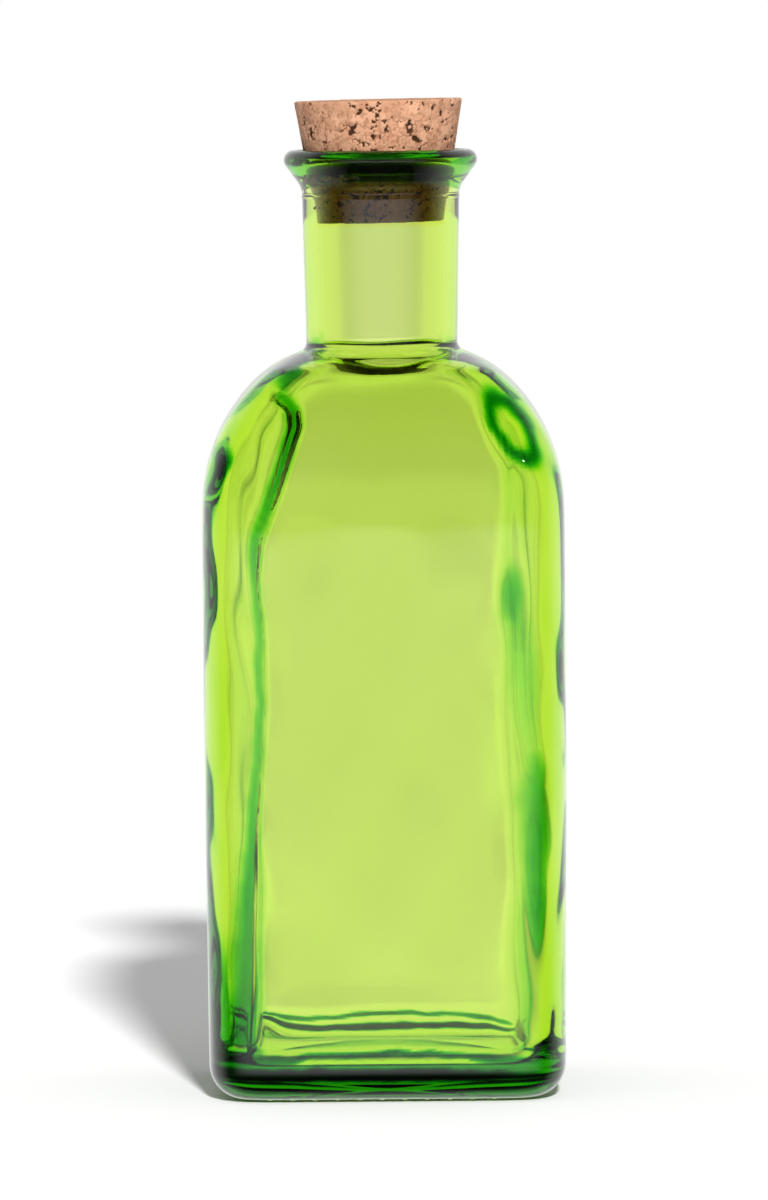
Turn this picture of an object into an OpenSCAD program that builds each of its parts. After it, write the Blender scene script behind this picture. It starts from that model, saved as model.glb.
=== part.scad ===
// Square glass bottle with rounded shoulders, a flared lip and a tapered cork.
// Millimetres, +Z up, origin in the middle of the face that the bottle rests on.

/* [Body] */
// Width of the square body across its flats, front to back and side to side
body_w = 72; // [62:1:90]
// Height of the glass from the resting face to the top of the lip
glass_h = 187.5; // [150:0.5:230]
// Radius of the four upright corners, outside
corner_r = 12; // [8:0.5:16]
// Radius of the four upright corners, inside
inner_corner_r = 9.5; // [7:0.5:12]
// Thickness of the side walls and the shoulder
wall = 3.8; // [3:0.1:5]
// Radius of the shoulder's arc in front view
shoulder_r = 32.5; // [26:0.5:36]
// Narrowing of each side between the widest part and the heel
foot_taper = 0.5; // [0:0.1:1.5]
// Height of the straight part between that narrowing and the shoulder
straight_h = 42.5; // [20:0.5:55]

/* [Base] */
// Thickness of the floor at its edge
floor_t = 7; // [5:0.5:10]
// Radius of the rounded heel, outside
heel_r = 6.5; // [4:0.5:8]
// Radius between the floor and the walls, inside
inner_heel_r = 6; // [3:0.5:8]
// Rise of the shallow hollow under the base
push_up = 1.8; // [1:0.1:3]
// Radius of that hollow where it meets the resting face
push_up_r = 24; // [16:1:26]
// Rise of the crown in the middle of the floor, inside
floor_crown = 2.2; // [1:0.1:4]

/* [Neck and lip] */
// Length of the neck from the shoulder to the lip's flare
neck_l = 30.5; // [20:0.5:40]
// Thickness of the neck's wall
neck_wall = 2.8; // [2:0.1:3.5]
// Narrowing of the neck's radius from the cork's foot down to the shoulder
neck_taper = 0.6; // [0:0.1:1]
// Radius of the fillet between neck and shoulder
neck_fillet_r = 2; // [1:0.5:3]
// Width of the lip from the edge of the mouth to its outside
lip_w = 4.1; // [3.4:0.1:5.5]
// Radius of the lip's rounded outer edge
lip_edge_r = 2; // [1.5:0.1:2.4]
// Radius of the curve by which the mouth opens towards the lip
mouth_flare_r = 5.5; // [2:0.5:6]
// Angle of the flare under the lip, from the bottle's axis
flare_angle = 36; // [28:1:42]
// Radius of the hollow curve between neck and flare
flare_fillet_r = 4.5; // [2:0.5:5]

/* [Cork] */
// Length of the cork
cork_l = 24.4; // [20:0.2:30]
// Diameter of the cork's top
cork_top_d = 33.5; // [31:0.1:40.5]
// Diameter of the cork's foot
cork_foot_d = 25.6; // [21:0.1:31]
// Length of cork that stands above the lip
cork_proud = 10.2; // [8:0.1:12.5]
// Chamfer on the cork's two edges
cork_chamfer = 0.4; // [0.2:0.1:1]
// Gap between the cork and the glass, measured square to the axis
cork_gap = 0.08; // [0.04:0.01:0.3]

/* [Hidden] */

// Steps in each quarter of a rounded section, and in each arc of a profile
corner_steps = 8;
arc_steps = 8;
// Steps up the shoulder and round each heel
shoulder_steps = 12;
heel_steps = 5;
// Power of the curve along which the flats of a section shorten up the shoulder
ridge_power = 3;
// Half of the flat that is left where the shoulder has become round
round_flat = 0.5;
// Width of the slope between the lip's top and the curve of the mouth
rim_chamfer = 0.4;
// How far one solid runs into the next, so that they join
sink = 1;
$fn = 96;

half_w = body_w / 2;
inner_half_w = half_w - wall;

// The cork and the tapered mouth that it fits
cork_foot_z = glass_h + cork_proud - cork_l;
cork_slope = (cork_top_d - cork_foot_d) / 2 / cork_l;

// The neck is built out from the mouth, so that it keeps its wall whatever cork it takes
neck_r = mouth_r(cork_foot_z) + neck_wall;
bore_foot_r = mouth_r(cork_foot_z) - neck_taper;
neck_foot_r = bore_foot_r + neck_wall;
lip_r = mouth_r(glass_h) + lip_w;

// The lip: centre of its outer edge, and where its flare starts on the neck
lip_edge_at = [lip_r - lip_edge_r, glass_h - lip_edge_r];
flare_top = lip_edge_at + lip_edge_r * [cos(flare_angle), -sin(flare_angle)];
flare_corner_z = flare_top.y - (flare_top.x - neck_r) / tan(flare_angle);
flare_fillet_z = flare_corner_z - flare_fillet_r * tan(flare_angle / 2);

// Heights of the neck's foot and of the centre of the shoulder's arc
neck_foot_z = flare_fillet_z - neck_l;
shoulder_z = neck_foot_z - arc_rise(half_w, shoulder_r, neck_foot_r);
inner_shoulder_r = shoulder_r - wall;
bore_foot_z = shoulder_z + arc_rise(inner_half_w, inner_shoulder_r, bore_foot_r);
straight_z = shoulder_z - straight_h;

// The fillet between neck and shoulder, a circle that touches the neck and the shoulder's arc
fillet_out = max(0, neck_foot_r + neck_fillet_r - (half_w - shoulder_r));
fillet_up = sqrt(pow(shoulder_r + neck_fillet_r, 2) - pow(fillet_out, 2));
fillet_tilt = atan2(fillet_up, fillet_out);
fillet_at = [neck_foot_r + neck_fillet_r, shoulder_z + fillet_up];

// Height over which an arc that starts at half width a, with radius r, closes in to half width to
function arc_rise(a, r, to) = sqrt(r * r - pow(max(0, to - (a - r)), 2));

// Half width of the section at a height up an arc that closes in from half width a
function arc_half(a, r, up) = a - r + sqrt(max(0, r * r - up * up));

// Half length of the section's flats at a share of the way up the shoulder
function ridge_half(flat, share) =
    max(round_flat, flat * pow(1 - pow(share, ridge_power), 1 / ridge_power));

// Radius of the mouth, which follows the cork's taper at the cork's gap
function mouth_r(z) = cork_foot_d / 2 + cork_slope * (z - cork_foot_z) + cork_gap;

// Points of an arc in a profile
function arc(at, r, from, to) =
    [for (i = [0:arc_steps]) let (a = from + (to - from) * i / arc_steps) at + r * [cos(a), sin(a)]];

// One section: a square of half width a with rounded corners, whose flats have half length flat
function section(z, a, flat) = [
    for (q = [0:3], i = [0:corner_steps])
        let (turn = 90 * q, angle = turn + 90 * i / corner_steps)
        [
            flat * (cos(turn) - sin(turn)) + (a - flat) * cos(angle),
            flat * (sin(turn) + cos(turn)) + (a - flat) * sin(angle),
            z
        ]
];

// Sections round a heel, from its foot up to the full half width a
function heel(z, a, r, flat) = [
    for (i = [0:heel_steps])
        let (angle = 90 * i / heel_steps)
        section(z + r * (1 - cos(angle)), a - r * (1 - sin(angle)), flat)
];

// Sections up a shoulder, from half width a to half width to
function shoulder(z, a, r, to, flat) = [
    for (i = [0:shoulder_steps])
        let (rise = arc_rise(a, r, to), share = i / shoulder_steps, up = rise * sin(90 * share))
        section(z + up, arc_half(a, r, up), ridge_half(flat, up / rise))
];

// Closed solid through a list of sections that all have the same number of points
module loft(sections) {
    n = len(sections[0]);
    last = len(sections) - 1;
    polyhedron(
        points = [for (s = sections, p = s) p],
        faces = concat(
            [[for (i = [0:n - 1]) i]],
            [
                for (s = [0:last - 1], i = [0:n - 1], side = [0:1])
                    let (a = s * n + i, b = s * n + (i + 1) % n)
                    side == 0 ? [a, a + n, b] : [b, a + n, b + n]
            ],
            [[for (i = [n - 1:-1:0]) last * n + i]]
        )
    );
}

// Part of a sphere whose cap rises by height over a circle of radius r at the level z
module cap(z, height, r) {
    sphere_r = (height * height + r * r) / (2 * height);
    translate([0, 0, z + height - sphere_r]) sphere(sphere_r);
}

// The body from its resting face to the foot of the neck, solid
module body_outside() {
    flat = half_w - corner_r;
    loft(concat(
        heel(0, half_w - foot_taper, heel_r, flat - foot_taper),
        [section(straight_z, half_w, flat)],
        shoulder(shoulder_z, half_w, shoulder_r, neck_foot_r, flat)
    ));
}

// The space inside the body, up to the foot of the bore
module body_inside() {
    flat = inner_half_w - inner_corner_r;
    difference() {
        loft(concat(
            heel(floor_t, inner_half_w - foot_taper, inner_heel_r, flat - foot_taper),
            [section(straight_z, inner_half_w, flat)],
            shoulder(shoulder_z, inner_half_w, inner_shoulder_r, bore_foot_r, flat)
        ));
        cap(floor_t, floor_crown, flat);
    }
}

// The neck, its flare and the rounded lip, solid
module neck_outside() {
    fillet = arc(fillet_at, neck_fillet_r, 180 + fillet_tilt, 180);
    inside_z = fillet[0].y - sink;
    rotate_extrude()
        polygon(concat(
            [[0, inside_z], [fillet[0].x, inside_z]],
            fillet,
            arc([neck_r + flare_fillet_r, flare_fillet_z], flare_fillet_r, 180, 180 - flare_angle),
            arc(lip_edge_at, lip_edge_r, -flare_angle, 90),
            [[0, glass_h]]
        ));
}

// The bore: a slight taper up to the cork's foot, the cork's own taper, and the lip's inner edge
module neck_inside() {
    taper_angle = atan(cork_slope);
    open_z = glass_h - mouth_flare_r;
    open_at = [mouth_r(open_z) + mouth_flare_r / cos(taper_angle), open_z];
    end_angle = acos((lip_edge_at.x - rim_chamfer - open_at.x) / mouth_flare_r);
    rotate_extrude()
        polygon(concat(
            [[0, bore_foot_z - sink], [bore_foot_r, bore_foot_z - sink], [mouth_r(cork_foot_z), cork_foot_z]],
            arc(open_at, mouth_flare_r, 180 - taper_angle, end_angle),
            [[lip_edge_at.x, glass_h], [lip_edge_at.x, glass_h + sink], [0, glass_h + sink]]
        ));
}

module glass_bottle() {
    color([0.68, 0.86, 0.28, 0.6])
        difference() {
            union() {
                body_outside();
                neck_outside();
            }
            body_inside();
            neck_inside();
            cap(0, push_up, push_up_r);
        }
}

module cork_stopper() {
    color([0.78, 0.6, 0.45])
        translate([0, 0, cork_foot_z])
            rotate_extrude()
                polygon([
                    [0, 0],
                    [cork_foot_d / 2 - cork_chamfer, 0],
                    [cork_foot_d / 2 + cork_slope * cork_chamfer, cork_chamfer],
                    [cork_top_d / 2 - cork_slope * cork_chamfer, cork_l - cork_chamfer],
                    [cork_top_d / 2 - cork_chamfer, cork_l],
                    [0, cork_l]
                ]);
}

glass_bottle();
cork_stopper();
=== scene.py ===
"""Looks of a square corked glass bottle: its glass, its cork, and a plain studio round it."""

import logging
import math
from dataclasses import dataclass
from enum import Enum
from functools import reduce

import bpy
import numpy as np
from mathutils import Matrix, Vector


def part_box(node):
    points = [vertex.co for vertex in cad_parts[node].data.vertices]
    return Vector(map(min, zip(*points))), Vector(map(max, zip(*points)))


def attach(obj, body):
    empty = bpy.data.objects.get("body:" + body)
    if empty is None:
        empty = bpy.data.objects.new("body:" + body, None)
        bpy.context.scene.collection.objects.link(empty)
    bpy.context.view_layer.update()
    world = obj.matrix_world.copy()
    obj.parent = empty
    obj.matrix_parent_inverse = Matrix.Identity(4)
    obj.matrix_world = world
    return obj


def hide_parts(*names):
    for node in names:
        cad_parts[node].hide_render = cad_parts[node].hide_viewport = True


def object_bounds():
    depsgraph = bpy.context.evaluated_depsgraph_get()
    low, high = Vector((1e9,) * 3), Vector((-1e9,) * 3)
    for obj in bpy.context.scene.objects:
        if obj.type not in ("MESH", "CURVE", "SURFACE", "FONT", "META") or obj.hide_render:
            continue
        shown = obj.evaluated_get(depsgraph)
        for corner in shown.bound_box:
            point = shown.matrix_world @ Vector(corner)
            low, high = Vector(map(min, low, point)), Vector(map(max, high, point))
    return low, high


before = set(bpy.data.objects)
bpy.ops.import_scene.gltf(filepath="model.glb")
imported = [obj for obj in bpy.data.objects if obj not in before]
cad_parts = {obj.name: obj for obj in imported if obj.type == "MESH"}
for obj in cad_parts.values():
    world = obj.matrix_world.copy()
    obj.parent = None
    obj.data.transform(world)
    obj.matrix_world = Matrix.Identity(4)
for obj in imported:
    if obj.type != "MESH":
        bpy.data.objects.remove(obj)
CAD_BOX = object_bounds()

log = logging.getLogger("bottle")
MM = 0.001
FULL_TURN = 2 * math.pi
QUARTER = math.pi / 2
Object = bpy.types.Object
Socket = bpy.types.NodeSocket
Feed = float | tuple | Socket
Stops = tuple[tuple[float, float, float, float], ...]


class Body(Enum):
    """The CAD bodies that the pieces ride on."""

    BOTTLE = "bottle"
    STOPPER = "stopper"


class Slot(Enum):
    """The record's material slots."""

    GLASS = "green_glass"
    CORK = "pressed_cork"


# ---------------------------------------------------------------- curves and surfaces


def arc(centre: tuple[float, float], radius: float, start: float, end: float, steps: int) -> np.ndarray:
    """Points (steps, 2): centre plus radius * (cos, sin) of even angles from start to end, in radians."""
    angle = np.linspace(start, end, steps)
    return np.array(centre) + radius * np.column_stack((np.cos(angle), np.sin(angle)))


def line(first: tuple[float, float], last: tuple[float, float], steps: int) -> np.ndarray:
    """Points (steps, 2) spread evenly from first to last, both included."""
    share = np.linspace(0.0, 1.0, steps)[:, None]
    return np.array(first) * (1 - share) + np.array(last) * share


def smooth_step(value: np.ndarray, low: float, high: float) -> np.ndarray:
    """Share from 0 at low to 1 at high, which starts and ends level: 3 s^2 - 2 s^3."""
    share = np.clip((value - low) / (high - low), 0.0, 1.0)
    return share * share * (3 - 2 * share)


def soft_square(angle: np.ndarray, half: np.ndarray, flat: np.ndarray) -> np.ndarray:
    """Distance from the axis to a square section whose sides swell a little and flow into the corners.

    It is the superellipse |x|^p + |y|^p = half^p that passes through the middle of each corner
    of a rounded square. That corner lies flat * sqrt(2) + (half - flat) out, so
    p = 1 / (1/2 - log2(corner / half)). Below p = 3 the sides would have a flat spot, so there
    it is a mixture of the circle and the superellipse of p = 3 with the same corner.

    Args:
        angle: Directions round the axis, shape (rings, around).
        half: Half width of each section, shape (rings, 1).
        flat: Half length of the rounded square's flats, shape (rings, 1).

    Returns:
        Array of shape (rings, around).
    """
    safe = np.maximum(half, 1e-9)
    corner = (flat * math.sqrt(2) + half - flat) / safe
    corner = np.maximum(corner, 1.0)
    power = np.maximum(1 / (0.5 - np.log2(corner)), 3.0)
    share = np.minimum((corner - 1) / (2 ** (1 / 6) - 1), 1.0)
    sides = np.abs(np.cos(angle)) ** power + np.abs(np.sin(angle)) ** power
    return half * (1 + share * (sides ** (-1 / power) - 1))


def relaxed(points: np.ndarray, spread: float, weight: np.ndarray) -> np.ndarray:
    """Evens out the curvature of a line of points, as soft glass does.

    The line is cut into equal steps, each coordinate is averaged with a bell curve along it,
    and the result is read off where the first points were.

    Args:
        points: Array of shape (steps, 2).
        spread: The bell curve's spread, in metres along the line.
        weight: Share of the averaged line at each point, from 0 to 1.

    Returns:
        Array of shape (steps, 2).
    """
    run = np.concatenate(([0.0], np.cumsum(np.linalg.norm(np.diff(points, axis=0), axis=1))))
    cuts, reach = 12, 36
    even = np.arange(-4 * spread, run[-1] + 4 * spread, spread / cuts)
    bell = np.exp(-0.5 * (np.arange(-reach, reach + 1) / cuts) ** 2)
    bell /= bell.sum()
    result = points.copy()
    for axis in (0, 1):
        start, end = np.diff(points[:2, axis])[0] / run[1], np.diff(points[-2:, axis])[0]
        end /= run[-1] - run[-2]
        value = np.interp(even, run, points[:, axis])
        value += np.minimum(even, 0) * start + np.maximum(even - run[-1], 0) * end
        soft = np.interp(run, even, np.convolve(value, bell, "same"))
        result[:, axis] += weight * (soft - points[:, axis])
    return result


def graded_angles(count: int, centres: tuple[float, ...], spread: float, gain: float) -> np.ndarray:
    """Directions round the axis that lie closer together about some of them.

    The density is 1 plus gain times a bell curve at each centre. The directions are where its
    running total passes equal steps.

    Args:
        count: Number of directions.
        centres: Directions about which they lie closer, in radians.
        spread: Spread of each bell curve, in radians.
        gain: How many times denser they get there.

    Returns:
        Array of count angles, rising from -pi.
    """
    fine = np.linspace(-math.pi, math.pi, 4001)
    density = np.ones_like(fine)
    for centre in centres:
        apart = (fine - centre + math.pi) % FULL_TURN - math.pi
        density += gain * np.exp(-0.5 * (apart / spread) ** 2)
    total = np.concatenate(([0.0], np.cumsum(density[:-1])))
    return np.interp(np.arange(count) / count * total[-1], total, fine)


@dataclass
class Ripple:
    """A smooth random field in space: a sum of sine waves in seeded random directions."""

    seed: int
    waves: int
    shortest: float
    longest: float

    def __post_init__(self) -> None:
        """Draws the waves."""
        draw = np.random.default_rng(self.seed)
        direction = draw.normal(size=(self.waves, 3))
        direction /= np.linalg.norm(direction, axis=1)[:, None]
        length = self.longest * (self.shortest / self.longest) ** draw.random(self.waves)
        self.vectors = direction * (FULL_TURN / length)[:, None]
        self.phases = draw.random(self.waves) * FULL_TURN

    def at(self, points: np.ndarray) -> np.ndarray:
        """Field at each point: the sum of sin(wave . point + phase), scaled to about -1 to 1.

        Args:
            points: Array of shape (..., 3).

        Returns:
            Array of shape (...).
        """
        total = np.zeros(points.shape[:-1])
        for vector, phase in zip(self.vectors, self.phases):
            total += np.sin(points @ vector + phase)
        return total * math.sqrt(2.0 / self.waves) / 1.6


@dataclass(frozen=True)
class CordOrShadeStreak:
    """A wandering ridge of thicker glass, or a streak of painted shade, a deeper green where
    refraction darkens the view, that runs up the front wall.

    Each stop holds, in millimetres, the height, the way out from the middle (to the right is
    more than 0), the half width and the thickness there. It fades in over the front edge.
    """

    stops: Stops
    front_edge: tuple[float, float] = (18.0, 25.0)

    def at(self, points: np.ndarray) -> np.ndarray:
        """Extra thickness: height * exp(-(way from the ridge's line / half width)^2), in front only.

        Args:
            points: Array of shape (..., 3).

        Returns:
            Array of shape (...).
        """
        stops = np.array(sorted(self.stops)) * MM
        level = points[..., 2]
        middle, half, high = (np.interp(level, stops[:, 0], stops[:, k]) for k in (1, 2, 3))
        front = smooth_step(-points[..., 1] / MM, *self.front_edge)
        return front * high * np.exp(-(((points[..., 0] - middle) / half) ** 2))


@dataclass(frozen=True)
class DimpleOrShadeBlot:
    """A drop-shaped swelling, or a blot of painted shade, on the front wall, in millimetres, from front mm
    forwards.
    """

    out: float
    level: float
    half_wide: float
    half_high: float
    thick: float
    lean: float = 0.0
    steep: float = 4.0
    rim: float = 0.0
    front: float = 4.0
    fade: float = 6.0

    def at(self, points: np.ndarray) -> np.ndarray:
        """Extra thickness: thick * exp(-d^steep), where d counts half widths from the middle.

        With a rim only the outline counts: thick * exp(-((d - 1) / rim)^2).

        Args:
            points: Array of shape (..., 3).

        Returns:
            Array of shape (...).
        """
        across, up = points[..., 0] - self.out * MM, points[..., 2] - self.level * MM
        cos, sin = math.cos(self.lean), math.sin(self.lean)
        wide = (across * cos + up * sin) / (self.half_wide * MM)
        high = (up * cos - across * sin) / (self.half_high * MM)
        ahead = -points[..., 1] / MM
        front = smooth_step(ahead, self.front, self.front + self.fade) * self.thick * MM
        if self.rim:
            return front * np.exp(-(((np.sqrt(wide**2 + high**2) - 1) / self.rim) ** 2))
        return front * np.exp(-((wide**2 + high**2) ** (self.steep / 2)))


@dataclass(frozen=True)
class ShadeBand:
    """A level band of painted shade, a deeper green round the glass, whose height changes from left to
    right.

    Each stop holds, in millimetres, the way out from the middle, the height, the half height
    and the thickness of the painted deeper green there.
    """

    stops: Stops

    def at(self, points: np.ndarray) -> np.ndarray:
        """Extra thickness: thickness * exp(-(way from the band's line / half height)^4).

        Args:
            points: Array of shape (..., 3).

        Returns:
            Array of shape (...).
        """
        stops = np.array(self.stops)
        out, level = points[..., 0] / MM, points[..., 2] / MM
        middle, half, high = (np.interp(out, stops[:, 0], stops[:, k]) for k in (1, 2, 3))
        return high * MM * np.exp(-(((level - middle) / half) ** 4))


def ring_points(distance: np.ndarray, height: np.ndarray, angle: np.ndarray) -> np.ndarray:
    """Points (rings, around, 3): distance * (cos, sin) of the angle, at the height of each ring."""
    across, along = distance * np.cos(angle), distance * np.sin(angle)
    return np.stack((across, along, np.broadcast_to(height, across.shape)), axis=-1)


def closed_surface(name: str, rings: np.ndarray, places: np.ndarray | None = None) -> Object:
    """Smooth closed object through rings of points, with both ends drawn to a point.

    The first and the last ring have shrunk to one point each, so each becomes a fan. Faces
    point outwards where the rings run up the outside and turn from +X towards +Y.

    Args:
        name: The piece's name.
        rings: Array of shape (rings, around, 3).
        places: Where copies of the surface stand, shape (copies, 3). One at the origin if None.

    Returns:
        The new object, linked to the scene, at the origin.
    """
    count, around = rings.shape[0], rings.shape[1]
    body = rings[1:-1].reshape(-1, 3)
    points = np.vstack((body, rings[0].mean(axis=0), rings[-1].mean(axis=0)))
    inner = count - 2
    index = np.arange(inner * around).reshape(inner, around)
    low, high = index[:-1], index[1:]
    quads = np.stack((low, np.roll(low, -1, 1), np.roll(high, -1, 1), high), axis=-1).reshape(-1)
    first, last = len(points) - 2, len(points) - 1
    start_ring, end_ring = index[0], index[-1]
    start_fan = np.stack((np.full(around, first), np.roll(start_ring, -1), start_ring), axis=-1)
    end_fan = np.stack((np.full(around, last), end_ring, np.roll(end_ring, -1)), axis=-1)
    loops = np.concatenate((quads, start_fan.reshape(-1), end_fan.reshape(-1)))
    sizes = np.concatenate((np.full(len(quads) // 4, 4), np.full(2 * around, 3)))
    if places is not None:
        loops = (loops + len(points) * np.arange(len(places))[:, None]).reshape(-1)
        sizes = np.tile(sizes, len(places))
        points = (places[:, None, :] + points).reshape(-1, 3)
    starts = np.concatenate(([0], np.cumsum(sizes)[:-1]))
    mesh = bpy.data.meshes.new(name)
    mesh.vertices.add(len(points))
    mesh.vertices.foreach_set("co", points.astype(np.float32).reshape(-1))
    mesh.loops.add(len(loops))
    mesh.loops.foreach_set("vertex_index", loops.astype(np.int32))
    mesh.polygons.add(len(sizes))
    mesh.polygons.foreach_set("loop_start", starts.astype(np.int32))
    mesh.polygons.foreach_set("use_smooth", np.ones(len(sizes), bool))
    mesh.update(calc_edges=True)
    mesh.validate()
    piece = bpy.data.objects.new(name, mesh)
    bpy.context.scene.collection.objects.link(piece)
    return piece


def point_values(piece: Object, name: str, values: np.ndarray) -> None:
    """Stores one number for each point of a closed surface's rings as a named attribute.

    Args:
        piece: Object made by closed_surface.
        name: The attribute's name.
        values: Array of shape (rings, around).
    """
    flat = np.concatenate((values[1:-1].reshape(-1), [values[0].mean(), values[-1].mean()]))
    attribute = piece.data.attributes.new(name, "FLOAT", "POINT")
    attribute.data.foreach_set("value", flat.astype(np.float32))


def ring_normals(rings: np.ndarray) -> np.ndarray:
    """Outward direction at each point of a grid, from the cross of its two tangents.

    Args:
        rings: Array of shape (rings, around, 3).

    Returns:
        Unit vectors, same shape.
    """
    around = np.roll(rings, -1, 1) - np.roll(rings, 1, 1)
    along = np.gradient(rings, axis=0)
    normal = np.cross(around, along)
    size = np.linalg.norm(normal, axis=-1, keepdims=True)
    return normal / np.maximum(size, 1e-12)


# ---------------------------------------------------------------- shader nodes


class Nodes:
    """Short calls to add and join the nodes of one tree."""

    def __init__(self, tree: bpy.types.NodeTree) -> None:
        """Takes over a tree and empties it."""
        self.tree = tree
        tree.nodes.clear()

    def add(self, kind: str, inputs: dict | None = None, **settings: object) -> bpy.types.Node:
        """Adds a node.

        Args:
            kind: The node's type, such as "ShaderNodeBump".
            inputs: Values or sockets for its inputs, by name or number.
            **settings: The node's own properties.

        Returns:
            The new node.
        """
        node = self.tree.nodes.new(kind)
        for key, value in settings.items():
            setattr(node, key, value)
        for key, value in (inputs or {}).items():
            if isinstance(value, bpy.types.NodeSocket):
                self.tree.links.new(value, node.inputs[key])
            else:
                node.inputs[key].default_value = value
        return node

    def maths(self, operation: str, first: Feed, second: Feed, clamp: bool = False) -> Socket:
        """Adds a Math node for two numbers or sockets, and returns its output."""
        node = self.add("ShaderNodeMath", {0: first, 1: second}, operation=operation, use_clamp=clamp)
        return node.outputs[0]

    def spread(self, value: Socket, low: float, high: float, start: float = 0.0, end: float = 1.0) -> Socket:
        """Adds a Map Range node that eases from start at low to end at high, and stays inside."""
        names = {"Value": value, "From Min": low, "From Max": high, "To Min": start, "To Max": end}
        return self.add("ShaderNodeMapRange", names, interpolation_type="SMOOTHSTEP").outputs["Result"]

    def blend(self, factor: Feed, first: Feed, second: Feed, kind: str = "MIX") -> Socket:
        """Adds a colour Mix node, 0 for the first colour and 1 for the second, and returns its output."""
        names = {"Factor": factor, 6: first, 7: second}
        return self.add("ShaderNodeMix", names, data_type="RGBA", blend_type=kind).outputs[2]

    def product(self, *factors: Socket) -> Socket:
        """Multiplies the factors in order with Math nodes, and returns the last output."""
        return reduce(lambda so_far, factor: self.maths("MULTIPLY", so_far, factor), factors)

    def mix(self, factor: Feed, first: Feed, second: Feed) -> Socket:
        """Adds a number Mix node, 0 for the first number and 1 for the second, and returns its output."""
        names = {"Factor": factor, 2: first, 3: second}
        return self.add("ShaderNodeMix", names, data_type="FLOAT").outputs[0]

    def stored(self, name: str) -> Socket:
        """Adds an Attribute node for a value that is stored on the mesh, and returns its output."""
        return self.add("ShaderNodeAttribute", attribute_name=name).outputs["Fac"]


def mottle_group() -> bpy.types.NodeTree:
    """Node group that all the finishes share: two sizes of cloudy noise on Object coordinates.

    Returns:
        The group, with inputs Coarse, Fine and Share (how much of the fine noise there is), and
        the output Value from 0 to 1.
    """
    tree = bpy.data.node_groups.new("soft_mottle", "ShaderNodeTree")
    for name, value in (("Coarse", 40.0), ("Fine", 400.0), ("Share", 0.4)):
        socket = tree.interface.new_socket(name, in_out="INPUT", socket_type="NodeSocketFloat")
        socket.default_value = value
    tree.interface.new_socket("Value", in_out="OUTPUT", socket_type="NodeSocketFloat")
    nodes = Nodes(tree)
    given = nodes.add("NodeGroupInput").outputs
    place = nodes.add("ShaderNodeTexCoord").outputs["Object"]
    coarse = nodes.add("ShaderNodeTexNoise", {"Vector": place, "Scale": given["Coarse"], "Detail": 3.0})
    fine = nodes.add("ShaderNodeTexNoise", {"Vector": place, "Scale": given["Fine"], "Detail": 4.0})
    mixed = nodes.mix(given["Share"], coarse.outputs[0], fine.outputs[0])
    nodes.add("NodeGroupOutput", {"Value": mixed})
    return tree


def new_material(name: str) -> tuple[bpy.types.Material, Nodes]:
    """Adds an empty material.

    Args:
        name: The material's name.

    Returns:
        The material and its nodes.
    """
    material = bpy.data.materials.new(name)
    material.use_nodes = True
    return material, Nodes(material.node_tree)


@dataclass(frozen=True)
class GlassFinish:
    """Clear yellow-green glass that turns deep green where light goes a long way through it."""

    refraction: float = 1.52
    roughness: float = 0.0
    red_loss: float = 62.0
    green_loss: float = 17.0
    blue_loss: float = 290.0
    ripple_height: float = 0.00002
    # painted shade: the dark green that the stored shade value lays over the glass
    painted_shade: tuple = (0.012, 0.34, 0.0004, 1.0)
    # painted light: amber over the cork's seat, for the glass-tinted light that reaches the cork
    cork_light_tint: tuple = (0.92, 0.78, 0.06, 1.0)

    def material(self, mottle: bpy.types.NodeTree) -> bpy.types.Material:
        """Builds the glass: a transmitting surface, a faint ripple, and absorption by depth.

        The value of painted shade stored on the mesh gives a darker green where refraction and the
        cork's shadow darken the view: the surface's colour is the dark green colour to that power.
        Its seat value does the same with an amber, painted light in place of the green-tinted light
        that reaches the cork in the neck.

        Each colour loses its own share for each metre of glass. A volume takes off
        density * (1 - colour), so the density is the greatest loss and the colour is 1 less
        each loss over that.

        Args:
            mottle: The shared noise group.

        Returns:
            The material.
        """
        material, nodes = new_material("green_glass")
        noise = nodes.add("ShaderNodeGroup", {"Coarse": 60.0, "Fine": 180.0, "Share": 0.3}, node_tree=mottle)
        bump = nodes.add(
            "ShaderNodeBump",
            {"Height": noise.outputs["Value"], "Strength": 1.0, "Distance": self.ripple_height},
        )
        # painted shade: the dark green to the power of the stored shade value
        shade_green = nodes.add("ShaderNodeGamma", {"Color": self.painted_shade, "Gamma": nodes.stored("painted_shade")})
        # painted light: the amber to the power of the seat value
        cork_light_tint = nodes.add("ShaderNodeGamma", {"Color": self.cork_light_tint, "Gamma": nodes.stored("seat")})
        surface = nodes.add(
            "ShaderNodeBsdfPrincipled",
            {
                "Base Color": nodes.blend(1.0, shade_green.outputs[0], cork_light_tint.outputs[0], "MULTIPLY"),
                "Roughness": self.roughness,
                "IOR": self.refraction,
                "Transmission Weight": 1.0,
                "Normal": bump.outputs["Normal"],
            },
        )
        losses = (self.red_loss, self.green_loss, self.blue_loss)
        density = max(losses)
        colour = [1 - loss / density for loss in losses]
        volume = nodes.add("ShaderNodeVolumeAbsorption", {"Color": (*colour, 1.0), "Density": density})
        nodes.add(
            "ShaderNodeOutputMaterial",
            {"Surface": surface.outputs[0], "Volume": volume.outputs[0]},
        )
        return material


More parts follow.
